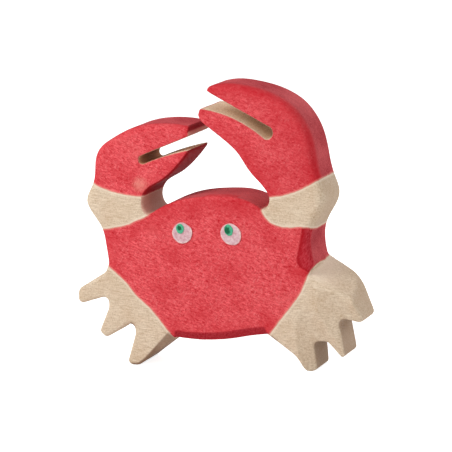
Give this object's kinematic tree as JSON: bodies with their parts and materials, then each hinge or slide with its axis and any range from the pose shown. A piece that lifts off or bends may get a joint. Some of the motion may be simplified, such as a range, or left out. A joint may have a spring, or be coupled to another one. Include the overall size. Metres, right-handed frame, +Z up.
{
  "type": "crab figurine",
  "caption": "Flat wooden crab figure sawn from a board, with raised claws, splayed legs, red glaze on shell and claws and painted eyes, standing on its feet.",
  "frame": {"origin": "on the surface that the feet stand on, under the centre of the figure's width and of the board's thickness", "axes": "+X to the viewer's right, -Y towards the viewer who sees the eyes, +Z up"},
  "size_m": [0.0994, 0.0205, 0.0955],
  "materials": {
    "red_glaze": "thin matte red glaze brushed on wood, the grain shows through",
    "bare_wood": "sanded pale wood, untreated and matte",
    "eye_white_paint": "dab of off-white paint",
    "iris_paint": "dab of green paint"
  },
  "bodies": {
    "root": {"carapace": "red_glaze", "left_claw": "red_glaze", "right_claw": "red_glaze", "left_arm": "bare_wood", "right_arm": "bare_wood", "left_legs": "bare_wood", "right_legs": "bare_wood", "left_eye_white": "eye_white_paint", "right_eye_white": "eye_white_paint", "left_iris": "iris_paint", "right_iris": "iris_paint"}
  },
  "joints": []
}
